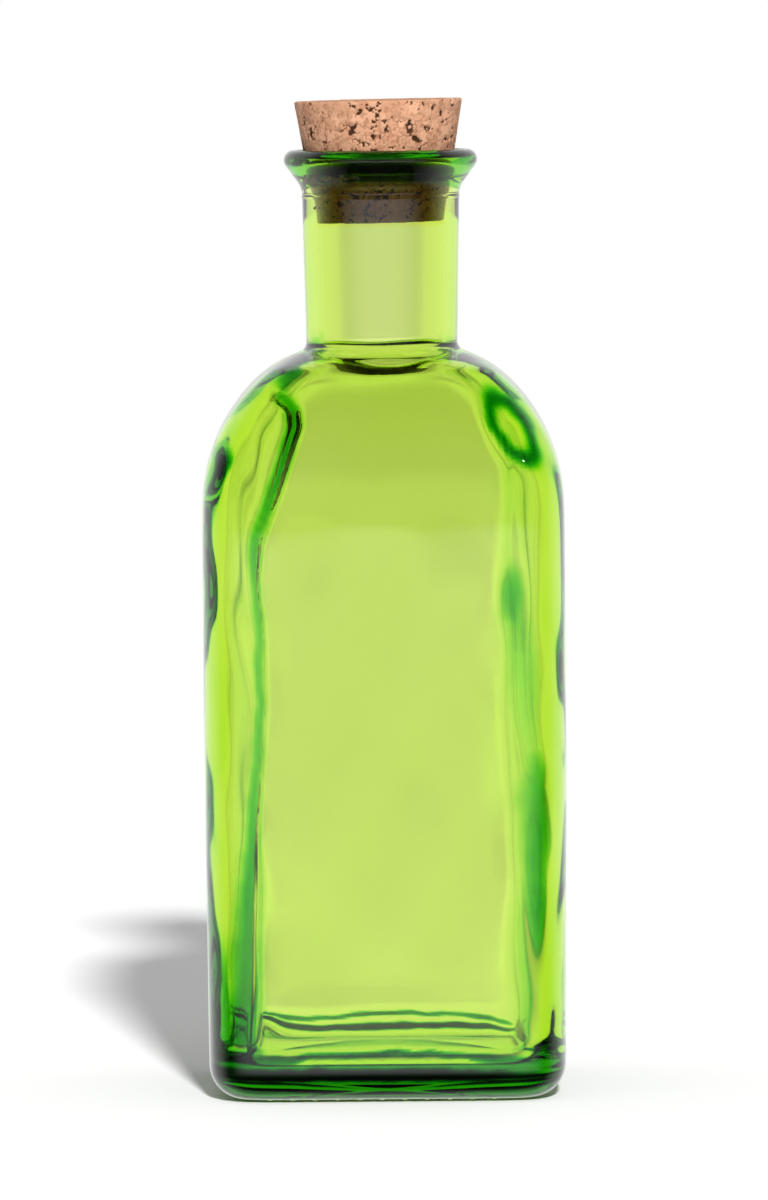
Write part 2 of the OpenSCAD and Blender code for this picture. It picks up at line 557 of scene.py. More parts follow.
@dataclass(frozen=True)
class CorkFinish:
    """Pressed cork: granules of several tans with darker joints and dark brown pits."""

    pale: tuple = (0.56, 0.31, 0.19, 1.0)
    tan: tuple = (0.42, 0.205, 0.115, 1.0)
    rosy: tuple = (0.47, 0.215, 0.135, 1.0)
    joint: tuple = (0.22, 0.10, 0.05, 1.0)
    pit: tuple = (0.05, 0.018, 0.007, 1.0)
    roughness: float = 0.85

    def material(self, mottle: bpy.types.NodeTree) -> bpy.types.Material:
        """Builds the cork from the mesh's granule, joint and pit values and finer noise.

        Args:
            mottle: The shared noise group.

        Returns:
            The material.
        """
        material, nodes = new_material("pressed_cork")
        tone, joint, pit = (nodes.stored(name) for name in ("granule", "joint", "pit"))
        fine = {"Coarse": 500.0, "Fine": 2400.0, "Share": 0.5}
        broad = {"Coarse": 150.0, "Fine": 900.0, "Share": 0.4}
        grain = nodes.add("ShaderNodeGroup", fine, node_tree=mottle)
        cloud = nodes.add("ShaderNodeGroup", broad, node_tree=mottle)
        mixed = nodes.maths("ADD", tone, nodes.spread(grain.outputs[0], 0.3, 0.7, -0.22, 0.22), clamp=True)
        colour = nodes.blend(mixed, self.tan, self.pale)
        blush = nodes.spread(cloud.outputs[0], 0.5, 0.72, 0.0, 0.6)
        colour = nodes.blend(blush, colour, self.rosy)
        broken = nodes.maths("MULTIPLY", joint, nodes.spread(cloud.outputs[0], 0.36, 0.6, 0.15, 0.85))
        colour = nodes.blend(broken, colour, self.joint)
        colour = nodes.blend(nodes.spread(pit, 0.12, 0.6), colour, self.pit)
        height = nodes.maths("SUBTRACT", grain.outputs[0], nodes.maths("MULTIPLY", broken, 0.5))
        bump = nodes.add("ShaderNodeBump", {"Height": height, "Strength": 0.6, "Distance": 0.12 * MM})
        surface = nodes.add(
            "ShaderNodeBsdfPrincipled",
            {"Base Color": colour, "Roughness": self.roughness, "Normal": bump.outputs["Normal"]},
        )
        nodes.add("ShaderNodeOutputMaterial", {"Surface": surface.outputs[0]})
        return material


@dataclass(frozen=True)
class FloorFinish:
    """Plain pale paper, hardly mottled, which glows through the glass (painted light) and shows in no
    mirror.
    """

    # painted light: how strongly the paper glows where the glass sees it
    glow_through_glass: float = 0.98
    colour: tuple = (0.93, 0.93, 0.93, 1.0)
    shade: tuple = (0.91, 0.91, 0.91, 1.0)

    def material(self, mottle: bpy.types.NodeTree) -> bpy.types.Material:
        """Builds the paper, which the glass sees as a painted glow and which mirrored light passes.

        Args:
            mottle: The shared noise group.

        Returns:
            The material.
        """
        material, nodes = new_material("pale_floor")
        noise = nodes.add("ShaderNodeGroup", {"Coarse": 3.0, "Fine": 12.0, "Share": 0.4}, node_tree=mottle)
        colour = nodes.blend(noise.outputs[0], self.colour, self.shade)
        paper = nodes.add(
            "ShaderNodeBsdfPrincipled",
            {"Base Color": colour, "Roughness": 1.0, "Specular IOR Level": 0.0},
        )
        # painted light: seen through the glass the paper glows, so the bottle's shadow behind it does not
        # show
        glow_through_glass = nodes.add("ShaderNodeEmission", {"Color": colour, "Strength": self.glow_through_glass})
        path = nodes.add("ShaderNodeLightPath").outputs
        through = {0: path["Is Transmission Ray"], 1: paper.outputs[0], 2: glow_through_glass.outputs[0]}
        seen = nodes.add("ShaderNodeMixShader", through)
        gone = nodes.add("ShaderNodeBsdfTransparent")
        mirrored = {0: path["Is Glossy Ray"], 1: seen.outputs[0], 2: gone.outputs[0]}
        surface = nodes.add("ShaderNodeMixShader", mirrored)
        nodes.add("ShaderNodeOutputMaterial", {"Surface": surface.outputs[0]})
        return material


# ---------------------------------------------------------------- the cork


@dataclass
class CorkStopper:
    """The tapered plug of pressed cork granules, with its pits."""

    top_r: float
    foot_r: float
    foot_z: float
    top_z: float
    edge_r: float = 0.45 * MM
    around: int = 420
    side_steps: int = 104
    granule_count: int = 3600
    pit_count: int = 420
    joint_w: float = 0.4 * MM
    search_r: float = 2.5 * MM
    pit_depth: float = 0.5 * MM
    joint_depth: float = 0.05 * MM
    swell_depth: float = 0.04 * MM
    lean: float = math.radians(-0.9)
    seed: int = 11

    def profile(self) -> np.ndarray:
        """Outline from the middle of the foot, up the side, to the middle of the top.

        Returns:
            Array of radius and height, shape (rings, 2).
        """
        slope = math.atan2(self.top_r - self.foot_r, self.top_z - self.foot_z)
        low_z, high_z = self.foot_z + self.edge_r, self.top_z - self.edge_r
        low_r, high_r = self.foot_r - self.edge_r, self.top_r - self.edge_r
        low = arc((low_r, low_z), self.edge_r, -QUARTER, -slope, 6)
        high = arc((high_r, high_z), self.edge_r, -slope, QUARTER, 7)
        return np.vstack((
            line((0.0, self.foot_z), tuple(low[0]), 42)[:-1],
            low,
            line(tuple(low[-1]), tuple(high[0]), self.side_steps)[1:-1],
            high,
            line(tuple(high[-1]), (0.0, self.top_z), 54)[1:],
        ))

    def granules(self, points: np.ndarray) -> tuple[np.ndarray, np.ndarray]:
        """Tone of the nearest granule, and how near the joint between two granules is.

        A granule is the space closest to one of many seeded points, once the space has been
        warped a little. The joint is where the nearest and the next nearest seeds are about
        equally far. The search goes band by band, with only the seeds close to each band.

        Args:
            points: Array of shape (rings, around, 3).

        Returns:
            Tone from 0 to 1 and joint from 0 to 1, both of shape (rings, around).
        """
        draw = np.random.default_rng(self.seed)
        low = np.array((-self.top_r, -self.top_r, self.foot_z))
        high = np.array((self.top_r, self.top_r, self.top_z))
        seeds = low + draw.random((self.granule_count, 3)) * (high - low)
        tones = draw.beta(1.6, 1.4, self.granule_count)
        warp = [Ripple(self.seed + k, 22, 0.6 * MM, 3.5 * MM) for k in (6, 7, 8)]
        bent = points + 0.55 * MM * np.stack([w.at(points) for w in warp], axis=-1)
        flat = bent.reshape(-1, 3)
        tone, joint = np.zeros(len(flat)), np.zeros(len(flat))
        for part in np.array_split(np.arange(len(flat)), 60):
            band = flat[part]
            low, high = band.min(0) - self.search_r, band.max(0) + self.search_r
            close = np.all((seeds > low) & (seeds < high), axis=1)
            near_seeds, near_tones = seeds[close], tones[close]
            gap = ((band[:, None, :] - near_seeds[None, :, :]) ** 2).sum(-1)
            two = np.argpartition(gap, 1, axis=1)[:, :2]
            near = np.sqrt(np.take_along_axis(gap, two, axis=1))
            closest = np.take_along_axis(two, near.argmin(axis=1)[:, None], axis=1)[:, 0]
            tone[part] = near_tones[closest]
            joint[part] = 1 - smooth_step(np.abs(near[:, 0] - near[:, 1]), 0.0, self.joint_w)
        return tone.reshape(points.shape[:2]), joint.reshape(points.shape[:2])

    def pits(self, points: np.ndarray, normals: np.ndarray) -> np.ndarray:
        """Depth share of the pits, which are small warped ellipses on the surface.

        Each pit has a middle on the surface and two half axes. A point's share is 1 less the
        square of its distance counted in half axes, and the deepest pit there counts.

        Args:
            points: Array of shape (rings, around, 3).
            normals: Unit vectors of the same shape.

        Returns:
            Array of shape (rings, around), 0 outside the pits.
        """
        draw = np.random.default_rng(self.seed + 1)
        warp = [Ripple(self.seed + k, 14, 0.7 * MM, 2.6 * MM) for k in (3, 4, 5)]
        bent = points + 0.22 * MM * np.stack([w.at(points) for w in warp], axis=-1)
        area = np.linalg.norm(np.cross(np.gradient(points, axis=0), np.gradient(points, axis=1)), axis=-1)
        chance = area.reshape(-1) / area.sum()
        picked = draw.choice(len(chance), self.pit_count, p=chance)
        size = (0.16 + 0.5 * draw.random(self.pit_count) ** 3.2) * MM
        stretch = 1.2 + 2.0 * draw.random(self.pit_count) ** 2
        turn = draw.random(self.pit_count) * FULL_TURN
        flat_points, flat_normals = points.reshape(-1, 3), normals.reshape(-1, 3)
        share = np.zeros(points.shape[:2])
        for at, radius, longer, angle in zip(picked, size, stretch, turn):
            middle, normal = flat_points[at], flat_normals[at]
            first = np.cross(normal, (0.3, 0.5, 0.81))
            first /= np.linalg.norm(first)
            second = np.cross(normal, first)
            along = math.cos(angle) * first + math.sin(angle) * second
            across = np.cross(normal, along)
            offset = bent - middle
            distance = (offset @ along / (radius * longer)) ** 2 + (offset @ across / radius) ** 2
            distance += (offset @ normal / (3 * radius)) ** 2
            share = np.maximum(share, np.clip(1 - distance, 0.0, 1.0) * min(1.0, 0.45 + radius / (0.7 * MM)))
        return share

    def build(self, finish: bpy.types.Material) -> Object:
        """Makes the cork, dresses it, and puts it in the place of its CAD node.

        Args:
            finish: The cork's material.

        Returns:
            The piece.
        """
        profile = self.profile()
        angle = np.linspace(0.0, FULL_TURN, self.around, endpoint=False)
        points = ring_points(profile[:, :1], profile[:, 1:], angle)
        normals = ring_normals(points)
        pit = self.pits(points, normals)
        tone, joint = self.granules(points)
        gaping = Ripple(self.seed + 14, 24, 1.6 * MM, 6.0 * MM).at(points)
        pit = np.maximum(pit, joint**2 * smooth_step(gaping, 0.42, 0.75))
        swell = Ripple(self.seed + 9, 20, 3.0 * MM, 12.0 * MM).at(points)
        sunk = self.pit_depth * pit + self.joint_depth * joint + self.swell_depth * (1 + swell)
        sunk[:2] = 0.0
        sunk[-2:] = 0.0
        points = self.leaning(points - normals * sunk[..., None])
        piece = closed_surface("pressed_cork_stopper", points)
        point_values(piece, "granule", tone)
        point_values(piece, "joint", joint)
        point_values(piece, "pit", pit)
        piece.data.materials.append(finish)
        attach(piece, Body.STOPPER.value)
        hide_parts("cork_stopper")
        return piece

    def leaning(self, points: np.ndarray) -> np.ndarray:
        """Turns the cork a little about the Y axis at its foot, and lowers it to keep its height.

        Args:
            points: Array of shape (rings, around, 3).

        Returns:
            The turned points.
        """
        pivot = np.array((0.0, 0.0, self.foot_z))
        from_pivot = points - pivot
        cos, sin = math.cos(self.lean), math.sin(self.lean)
        turned = from_pivot.copy()
        turned[..., 0] = cos * from_pivot[..., 0] + sin * from_pivot[..., 2]
        turned[..., 2] = -sin * from_pivot[..., 0] + cos * from_pivot[..., 2]
        turned += pivot
        turned[..., 2] -= max(0.0, turned[..., 2].max() - self.top_z)
        return turned


# ---------------------------------------------------------------- the glass


@dataclass
class Run:
    """One stretch of the bottle's outline, with the half length of the flats at each point."""

    points: np.ndarray
    flats: np.ndarray


@dataclass
class GlassBottle:
    """The blown glass body with its shoulder, neck and flared lip, inside and outside in one skin."""

    half_w: float
    height: float
    cork_foot_z: float
    mouth_foot_r: float
    mouth_slope: float
    wall: float = 3.8 * MM
    corner_r: float = 12.0 * MM
    inner_corner_r: float = 9.5 * MM
    shoulder_r: float = 32.5 * MM
    foot_taper: float = 0.5 * MM
    straight_h: float = 42.5 * MM
    floor_t: float = 7.0 * MM
    heel_r: float = 6.5 * MM
    inner_heel_r: float = 6.0 * MM
    push_up: float = 1.8 * MM
    push_up_r: float = 24.0 * MM
    floor_crown: float = 2.2 * MM
    neck_l: float = 30.5 * MM
    neck_wall: float = 2.8 * MM
    neck_taper: float = 0.6 * MM
    neck_fillet_r: float = 2.0 * MM
    lip_w: float = 4.1 * MM
    lip_edge_r: float = 2.0 * MM
    mouth_flare_r: float = 5.5 * MM
    rim_r: float = 0.45 * MM
    flare_angle: float = math.radians(36.0)
    flare_fillet_r: float = 4.5 * MM
    ridge_power: float = 3.0
    bore_fillet_r: float = 3.0 * MM
    rim_in: float = 0.48 * MM
    close_h: float = 5.0 * MM
    close_steps: int = 12
    relax: float = 3.0 * MM
    relax_low: float = 12.0 * MM
    relax_top: tuple = (14.0 * MM, 6.0 * MM)
    stand: float = 0.45 * MM
    seam_drop: float = 0.2 * MM
    seam_up: float = 0.1 * MM
    seam_half: float = 0.22 * MM
    calm_foot: tuple = (8.0 * MM, 20.0 * MM)
    calm_neck: tuple = (42.0 * MM, 36.0 * MM)
    plain_neck: tuple = (40.0 * MM, 34.0 * MM)
    corner_part: tuple = (0.45, 0.75)
    skin_wave: float = 0.03 * MM
    wall_wave: float = 0.10 * MM
    corner_wave: float = 0.25 * MM
    corner_short: float = 0.16 * MM
    around: int = 228
    turn_rings: tuple = (26, 46)
    relief: tuple = ()
    # painted shade: marks of darker green for the dark of refraction, and a darker lip for the cork's shadow
    # seen through it
    inner_shade_marks: tuple = ()
    outer_shade_marks: tuple = ()
    lip_inner_shade: float = 6.0
    lip_outer_shade: float = 0.3
    lip_shade_depth: tuple = (5.8 * MM, 4.6 * MM)
    ragged: float = 0.25 * MM
    seat_soft: float = 0.3 * MM

    def __post_init__(self) -> None:
        """Works out the heights and radii that follow from the sizes."""
        self.neck_r = self.mouth_foot_r + self.neck_wall
        self.bore_foot_r = self.mouth_foot_r - self.neck_taper
        self.neck_foot_r = self.bore_foot_r + self.neck_wall
        self.lip_r = self.mouth_r(self.height) + self.lip_w
        self.lip_at = (self.lip_r - self.lip_edge_r, self.height - self.lip_edge_r)
        flare_top_r = self.lip_at[0] + self.lip_edge_r * math.cos(self.flare_angle)
        flare_top_z = self.lip_at[1] - self.lip_edge_r * math.sin(self.flare_angle)
        corner_z = flare_top_z - (flare_top_r - self.neck_r) / math.tan(self.flare_angle)
        self.flare_z = corner_z - self.flare_fillet_r * math.tan(self.flare_angle / 2)
        self.offset = self.half_w - self.shoulder_r
        neck_foot_z = self.flare_z - self.neck_l
        rise = math.sqrt(self.shoulder_r**2 - (self.neck_foot_r - self.offset) ** 2)
        self.shoulder_z = neck_foot_z - rise

    def mouth_r(self, height: float) -> float:
        """Radius of the mouth at a height, which follows the cork's taper."""
        return self.mouth_foot_r + self.mouth_slope * (height - self.cork_foot_z)

    def shoulder(self, half: float, radius: float, neck: float, fillet: float, flat: float) -> Run:
        """The shoulder's arc and the fillet that joins it to the neck, from the body upwards.

        The fillet's circle touches the neck's upright line and the outside of the arc. The flats
        shorten along the curve flat * (1 - share^p)^(1/p), where share is the height so far over
        the whole height, and fade out over its last fifth, so that the neck starts round.

        Args:
            half: Half width of the body.
            radius: Radius of the shoulder's arc.
            neck: Radius of the neck or the bore.
            fillet: Radius of the fillet.
            flat: Half length of the body's flats.

        Returns:
            The run, from the body to the neck.
        """
        out = neck + fillet - (half - radius)
        up = math.sqrt((radius + fillet) ** 2 - out**2)
        tilt = math.atan2(up, out)
        curve = arc((half - radius, self.shoulder_z), radius, 0.0, tilt, 46)
        bend = arc((neck + fillet, self.shoulder_z + up), fillet, math.pi + tilt, math.pi, 14)
        points = np.vstack((curve, bend[1:]))
        share = np.clip((points[:, 1] - self.shoulder_z) / up, 0.0, 1.0)
        flats = flat * (1 - share**self.ridge_power) ** (1 / self.ridge_power)
        flats *= 1 - smooth_step(share, 0.8, 1.0)
        return Run(points, np.minimum(flats, 0.7 * points[:, 0]))

    def wall_line(self, side: Run, shoulder: Run) -> Run:
        """Joins the side and the shoulder with no jump in curvature where they meet.

        Args:
            side: The side, from the heel upwards.
            shoulder: The shoulder, from the side upwards.

        Returns:
            One run, from the heel to the neck.
        """
        points = np.vstack((side.points, shoulder.points[1:]))
        flats = np.concatenate((side.flats, shoulder.flats[1:]))
        low, top = points[0, 1], points[-1, 1]
        weight = smooth_step(points[:, 1], low, low + self.relax_low)
        weight *= 1 - smooth_step(points[:, 1], top - self.relax_top[0], top - self.relax_top[1])
        points = relaxed(points, self.relax, weight)
        return Run(points, flats)

    def side(self, low: float, half: float, flat: float, steps: int) -> Run:
        """The side wall from the heel to the shoulder, which eases out to its full width.

        The side stands in by taper * (1 - share)^1.5, where share is the height so far over the
        height where the straight part starts. Its heights lie closer together just above the heel.

        Args:
            low: Height where the heel ends.
            half: Full half width.
            flat: Half length of the flats at full width.
            steps: Number of points.

        Returns:
            The run, from the heel to the shoulder.
        """
        close = low + self.close_h
        fine = np.linspace(low, close, self.close_steps)[:-1]
        height = np.concatenate((fine, np.linspace(close, self.shoulder_z, steps - len(fine))))
        straight_z = self.shoulder_z - self.straight_h
        drawn_in = self.foot_taper * (1 - np.clip((height - low) / (straight_z - low), 0, 1)) ** 1.5
        return Run(np.column_stack((half - drawn_in, height)), flat - drawn_in)

    def outside(self) -> list[Run]:
        """The runs from the middle of the base, up the outside, to the top of the lip.

        Returns:
            Runs in order.
        """
        flat = self.half_w - self.corner_r
        foot_flat = flat - self.foot_taper
        foot = self.half_w - self.foot_taper - self.heel_r
        round_r = self.heel_r - self.stand
        foot += self.stand
        hollow_r = np.linspace(0.0, self.push_up_r, 14)
        hollow_z = self.stand + self.push_up * (1 - (hollow_r / self.push_up_r) ** 2) ** 1.5
        hollow = np.column_stack((hollow_r, hollow_z))
        hollow_flats = foot_flat * smooth_step(hollow_r, 0.4 * self.push_up_r, 1.1 * self.push_up_r)
        band = line((self.push_up_r, self.stand), (foot, self.stand), 5)[1:]
        band_flats = np.full(len(band), foot_flat)
        heel = arc((foot, self.heel_r), round_r, -QUARTER, 0.0, 16)[1:]
        side = self.side(self.heel_r, self.half_w, flat, 54)
        shoulder = self.shoulder(self.half_w, self.shoulder_r, self.neck_foot_r, self.neck_fillet_r, flat)
        wall = self.wall_line(side, shoulder)
        neck_start = tuple(wall.points[-1])
        seam_z = self.flare_z - self.seam_drop
        seam_low = (neck_start[0] * 0.03 + self.neck_r * 0.97, seam_z - 1.0 * MM)
        neck = np.vstack((
            line(neck_start, seam_low, 20)[1:],
            line(seam_low, (self.neck_r, self.flare_z), 14)[1:],
        ))
        flare = arc(
            (self.neck_r + self.flare_fillet_r, self.flare_z),
            self.flare_fillet_r, math.pi, math.pi - self.flare_angle, 12,
        )
        lip = arc(self.lip_at, self.lip_edge_r, -self.flare_angle, QUARTER, 20)
        rim = arc((self.lip_at[0], self.height - self.rim_r), self.rim_r, QUARTER, math.radians(165), 5)
        rise = line(tuple(flare[-1]), tuple(lip[0]), 7)[1:-1]
        finish = np.vstack((neck, flare[1:], rise, lip, rim[1:]))
        finish[:, 0] += self.seam_up * np.exp(-(((finish[:, 1] - seam_z) / self.seam_half) ** 2))
        return [
            Run(hollow, hollow_flats),
            Run(band, band_flats),
            Run(heel, np.full(len(heel), foot_flat)),
            Run(wall.points[1:], wall.flats[1:]),
            Run(finish, np.zeros(len(finish))),
        ]

    def inside(self) -> list[Run]:
        """The runs from the lip's inner edge, down the bore and the walls, to the middle of the floor.

        Returns:
            Runs in order.
        """
        taper = math.atan(self.mouth_slope)
        open_z = self.height - self.mouth_flare_r
        open_at = (self.mouth_r(open_z) + self.mouth_flare_r / math.cos(taper), open_z)
        end = math.acos((self.lip_at[0] - self.rim_in - open_at[0]) / self.mouth_flare_r)
        edge = arc(open_at, self.mouth_flare_r, end, math.pi - taper, 16)
        mouth = line(tuple(edge[-1]), (self.mouth_foot_r, self.cork_foot_z), 10)[1:]
        half = self.half_w - self.wall
        flat = half - self.inner_corner_r
        arc_r = self.shoulder_r - self.wall
        shoulder = self.shoulder(half, arc_r, self.bore_foot_r, self.bore_fillet_r, flat)
        bore = line((self.mouth_foot_r, self.cork_foot_z), tuple(shoulder.points[-1]), 22)[1:-1]
        rounds = np.vstack((edge, mouth, bore))
        heel_z = self.floor_t + self.inner_heel_r
        wall = self.wall_line(self.side(heel_z, half, flat, 64), shoulder)
        foot = half - self.foot_taper - self.inner_heel_r
        heel = arc((foot, heel_z), self.inner_heel_r, 0.0, -QUARTER, 16)[1:]
        foot_flat = flat - self.foot_taper
        floor_r = np.linspace(foot, 0.0, 22)[1:]
        crown = self.floor_t + self.floor_crown * (1 - (floor_r / foot) ** 2) ** 2
        floor_flats = foot_flat * smooth_step(floor_r, 0.0, foot)
        return [
            Run(rounds, np.zeros(len(rounds))),
            Run(wall.points[::-1], wall.flats[::-1]),
            Run(heel, np.full(len(heel), foot_flat)),
            Run(np.column_stack((floor_r, crown)), floor_flats),
        ]

    def near_top(self, level: np.ndarray, depths: tuple[float, float]) -> np.ndarray:
        """Share that rises from 0 to 1 between two depths under the lip's top."""
        return smooth_step(level, self.height - depths[0], self.height - depths[1])

    def uneven(self, points: np.ndarray, outer_count: int) -> np.ndarray:
        """How far each point stands out of the plain shape, as blown glass does.

        Outside, a faint ripple only goes inwards. Inside, a ripple grows towards the corners,
        and the named cords and dimples are added. The neck's cork seat stays plain.

        Args:
            points: The plain rings, shape (rings, around, 3).
            outer_count: Number of rings on the outside.

        Returns:
            Array of shape (rings, around), more than 0 for more glass.
        """
        level = points[..., 2]
        out = np.minimum(np.abs(points[..., 0]), np.abs(points[..., 1]))
        corner = smooth_step(out, self.corner_part[0] * self.half_w, self.corner_part[1] * self.half_w)
        calm = smooth_step(level, *self.calm_foot) * (1 - self.near_top(level, self.calm_neck))
        skin = -self.skin_wave * (1 + Ripple(5, 18, 14 * MM, 50 * MM).at(points)) * calm
        long = Ripple(7, 18, 16 * MM, 55 * MM).at(points)
        short = Ripple(8, 22, 5 * MM, 16 * MM).at(points * np.array((1.0, 1.0, 0.5)))
        at_corner = (self.corner_wave * long + self.corner_short * short) * corner
        inside = (self.wall_wave * long + at_corner) * calm
        for mark in self.relief:
            inside = inside + mark.at(points)
        rings = np.arange(len(points))[:, None]
        return np.where(rings < outer_count, skin, inside * (1 - self.near_top(level, self.plain_neck)))

    def shade_marks(self, points: np.ndarray, outer_count: int) -> np.ndarray:
        """Painted shade, a deeper green where refraction darkens the view: the sum of its marks, and
        more of it at the lip, where it stands in for the cork's shadow seen through the lip.

        The shaded places have slightly ragged edges: they are read off at points that a small
        ripple has moved.

        Args:
            points: The finished rings, shape (rings, around, 3).
            outer_count: Number of rings on the outside.

        Returns:
            Array of shape (rings, around), where 1 is the plain dark green of the painted shade.
        """
        waves = [Ripple(seed, 20, 3 * MM, 16 * MM) for seed in (21, 22, 23)]
        moved = points + self.ragged * np.stack([wave.at(points) for wave in waves], axis=-1)
        inner, outer = (
            sum(mark.at(moved) for mark in marks) / MM for marks in (self.inner_shade_marks, self.outer_shade_marks)
        )
        # painted shade at the lip, for the cork's shadow seen through the lip
        lip = self.near_top(points[..., 2], self.lip_shade_depth)
        rings = np.arange(len(points))[:, None]
        return np.where(rings < outer_count, outer + self.lip_outer_shade * lip, inner + self.lip_inner_shade * lip)

    def build(self, finish: bpy.types.Material) -> Object:
        """Makes the glass, dresses it, and puts it in the place of its CAD node.

        Each ring is the outline's section at one height. Its points lie at the distance that
        soft_square gives in each direction, closest together where the glass is liveliest. The
        mesh stores the painted shade, and where the cork's seat is: inside, above its foot, where
        an amber paints the light that reaches the cork through the glass.

        Args:
            finish: The glass material.

        Returns:
            The piece.
        """
        outer, inner = self.outside(), self.inside()
        outline = np.vstack([run.points for run in outer + inner])
        flats = np.concatenate([run.flats for run in outer + inner])
        outer_count = sum(len(run.points) for run in outer)
        corners = tuple(math.radians(turn) for turn in (-135, -45, 45, 135))
        outer_angles = graded_angles(self.around, corners, math.radians(12), 2.0)
        inner_angles = graded_angles(self.around, corners[:2], math.radians(13), 5.0)
        ring = np.arange(len(outline))[:, None]
        turned = smooth_step(ring - outer_count, *self.turn_rings)
        angle = outer_angles * (1 - turned) + inner_angles * turned
        distance = soft_square(angle, outline[:, :1], flats[:, None])
        points = ring_points(distance, outline[:, 1:], angle)
        points = points + ring_normals(points) * self.uneven(points, outer_count)[..., None]
        piece = closed_surface("glass_bottle_body", points)
        # painted shade, stored on the mesh
        point_values(piece, "painted_shade", self.shade_marks(points, outer_count))
        # painted light: above the cork's foot the inside glass is tinted amber, for the light that reaches
        # the cork through the glass
        foot = self.cork_foot_z
        seat = smooth_step(points[..., 2], foot - self.seat_soft, foot + self.seat_soft)
        point_values(piece, "seat", np.where(ring < outer_count, 0.0, seat))
        piece.data.materials.append(finish)
        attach(piece, Body.BOTTLE.value)
        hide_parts("glass_bottle")
        return piece


@dataclass
class BaseDots:
    """The ring of small domes under the bottle, which keep its base just off the table."""

    stand: float
    half_w: float = 27.5 * MM
    corner_r: float = 6.0 * MM
    pitch: float = 4.4 * MM
    dome_r: float = 0.55 * MM
    around: int = 12
    rings: int = 7

    def middles(self) -> np.ndarray:
        """Places of the domes, at equal steps along a rounded square.

        Returns:
            Array of x and y, shape (domes, 2).
        """
        angle = np.linspace(0.0, FULL_TURN, 721)[:-1]
        flat = np.array([[self.half_w - self.corner_r]])
        out = soft_square(angle[None, :], np.array([[self.half_w]]), flat)[0]
        path = np.column_stack((out * np.cos(angle), out * np.sin(angle)))
        path = np.vstack((path, path[:1]))
        run = np.concatenate(([0.0], np.cumsum(np.linalg.norm(np.diff(path, axis=0), axis=1))))
        count = round(run[-1] / self.pitch)
        places = np.arange(count) / count * run[-1]
        return np.column_stack([np.interp(places, run, path[:, axis]) for axis in (0, 1)])

    def build(self, finish: bpy.types.Material) -> Object:
        """Makes the domes: flattened balls whose lowest point is at height 0.

        A ball is (cos tilt * cos turn, cos tilt * sin turn, sin tilt), scaled to the dome's size.

        Args:
            finish: The glass material.

        Returns:
            The piece.
        """
        tilt = np.linspace(-QUARTER, QUARTER, self.rings)[:, None]
        turn = np.linspace(0.0, FULL_TURN, self.around, endpoint=False)
        ball = ring_points(np.cos(tilt), np.sin(tilt), turn)
        ball *= np.array((self.dome_r, self.dome_r, self.stand))
        middles = self.middles()
        places = np.column_stack((middles, np.full(len(middles), self.stand)))
        piece = closed_surface("base_dots", ball, places)
        piece.data.materials.append(finish)
        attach(piece, Body.BOTTLE.value)
        return piece


# ---------------------------------------------------------------- the studio


